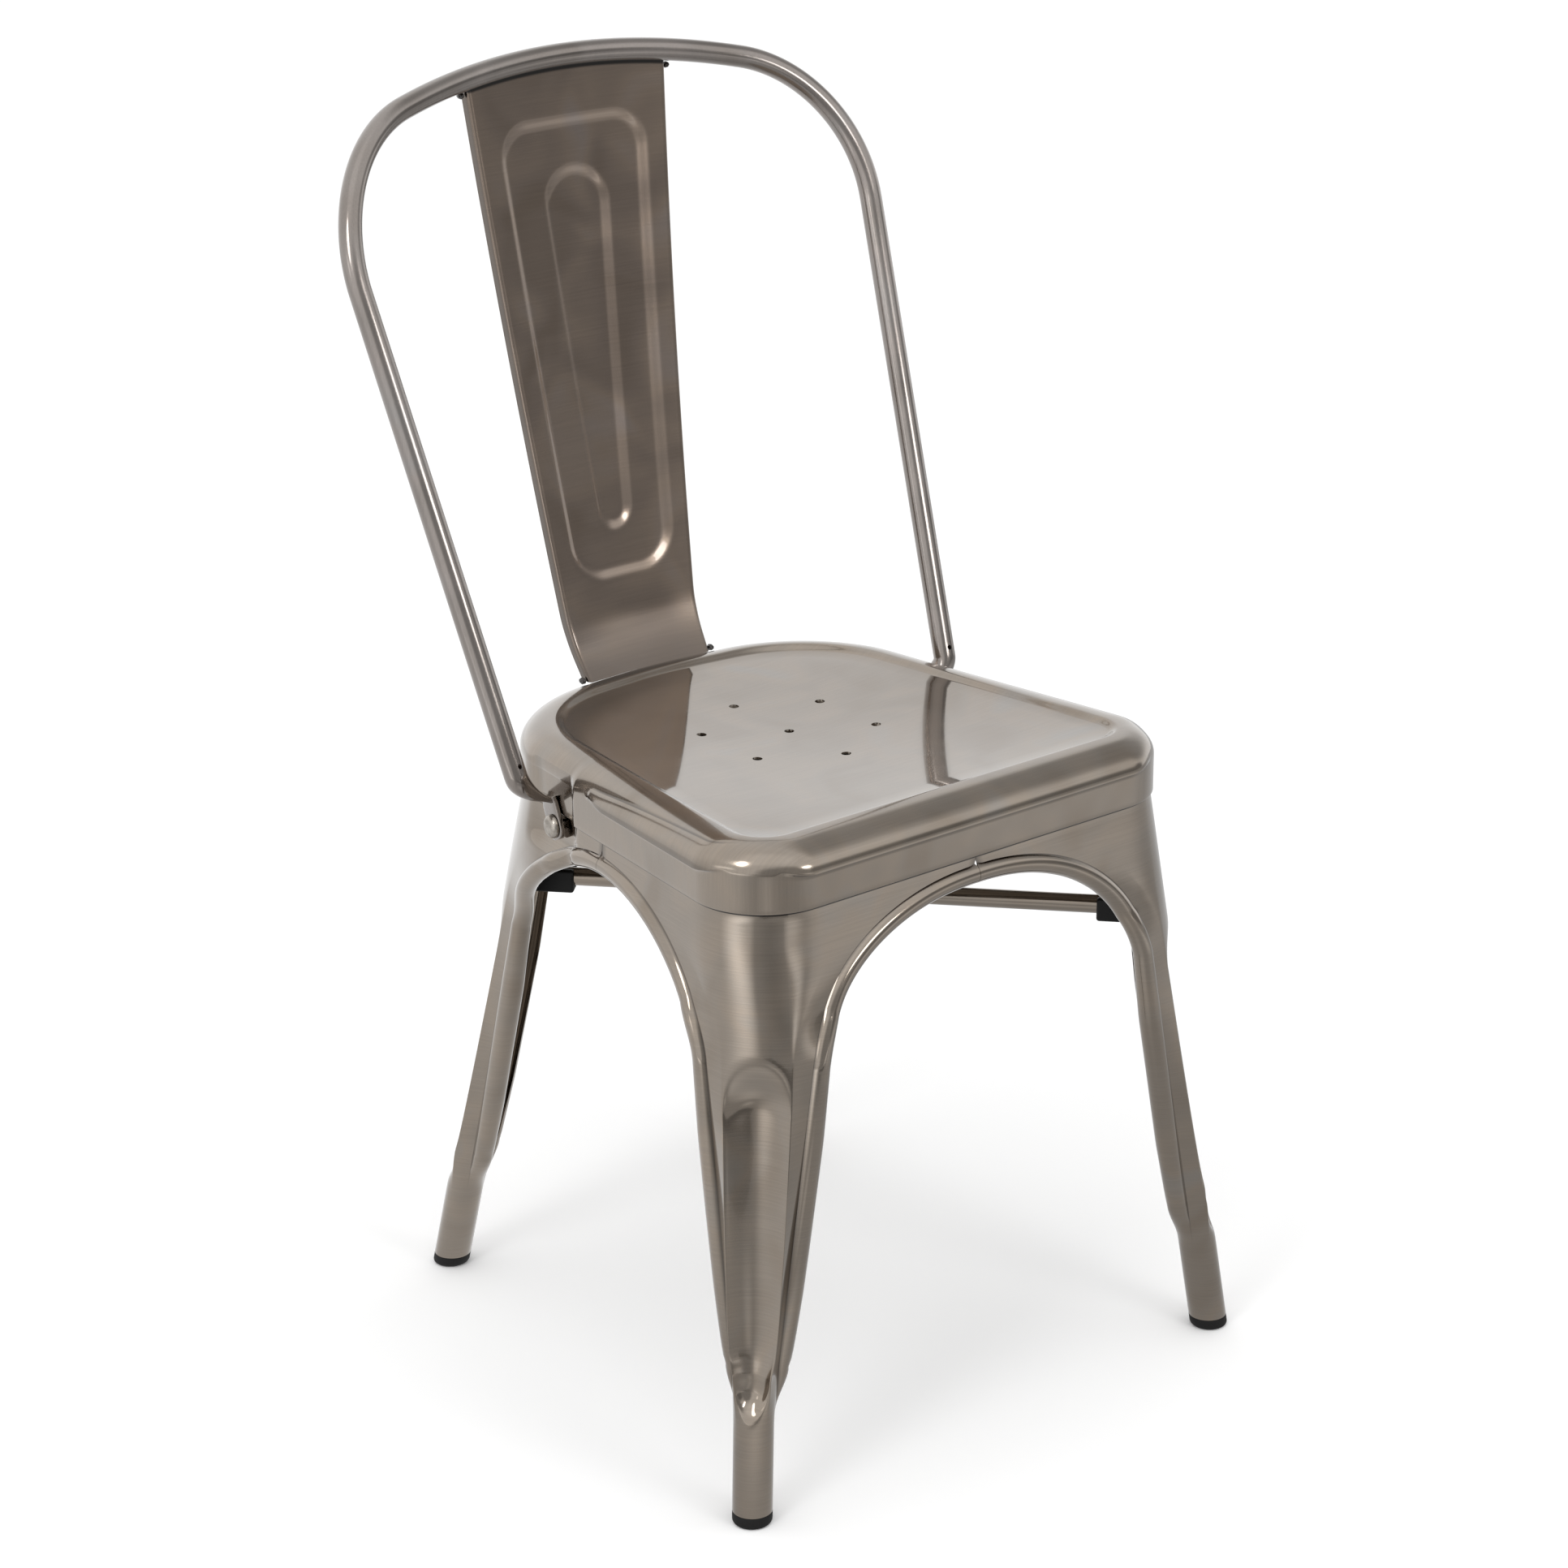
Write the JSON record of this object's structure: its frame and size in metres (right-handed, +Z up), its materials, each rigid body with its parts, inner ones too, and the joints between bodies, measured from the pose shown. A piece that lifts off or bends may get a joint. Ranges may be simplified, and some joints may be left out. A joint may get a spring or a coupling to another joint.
{
  "type": "stacking side chair",
  "caption": "Armless stacking side chair of pressed steel: dished seat with drain holes, splayed legs with rolled arches, a bent tube hoop back with an embossed splat, and a crossed tube brace.",
  "frame": {"origin": "on the floor, under the middle of the chair's bounding box", "axes": "+Z is up and -Y is the front, the way the sitter looks. Names with left lie on the -X side."},
  "size_m": [0.444, 0.4638, 0.8547],
  "materials": {
    "lacquered_steel": "raw brushed sheet under clear gloss lacquer",
    "zinc_plated_steel": "bright zinc",
    "scorched_weld": "dark weld bead under lacquer",
    "black_rubber": "moulded, matt",
    "black_plastic": "moulded, fine grain"
  },
  "bodies": {
    "root": {"seat_pan": "lacquered_steel", "front_left_leg": "lacquered_steel", "front_right_leg": "lacquered_steel", "rear_left_leg": "lacquered_steel", "rear_right_leg": "lacquered_steel", "back_hoop": "lacquered_steel", "back_splat": "lacquered_steel", "long_brace_bar": "lacquered_steel", "front_brace_bar": "lacquered_steel", "rear_brace_bar": "lacquered_steel", "hoop_bolt_left": "zinc_plated_steel", "hoop_bolt_right": "zinc_plated_steel", "hoop_washer_left": "zinc_plated_steel", "hoop_washer_right": "zinc_plated_steel", "hoop_nut_left": "zinc_plated_steel", "hoop_nut_right": "zinc_plated_steel", "splat_top_weld_left": "scorched_weld", "splat_top_weld_right": "scorched_weld", "splat_foot_weld_left": "scorched_weld", "splat_foot_weld_right": "scorched_weld", "front_left_foot_cap": "black_rubber", "front_right_foot_cap": "black_rubber", "rear_left_foot_cap": "black_rubber", "rear_right_foot_cap": "black_rubber", "front_left_brace_bumper": "black_plastic", "front_right_brace_bumper": "black_plastic", "rear_left_brace_bumper": "black_plastic", "rear_right_brace_bumper": "black_plastic"}
  },
  "joints": []
}
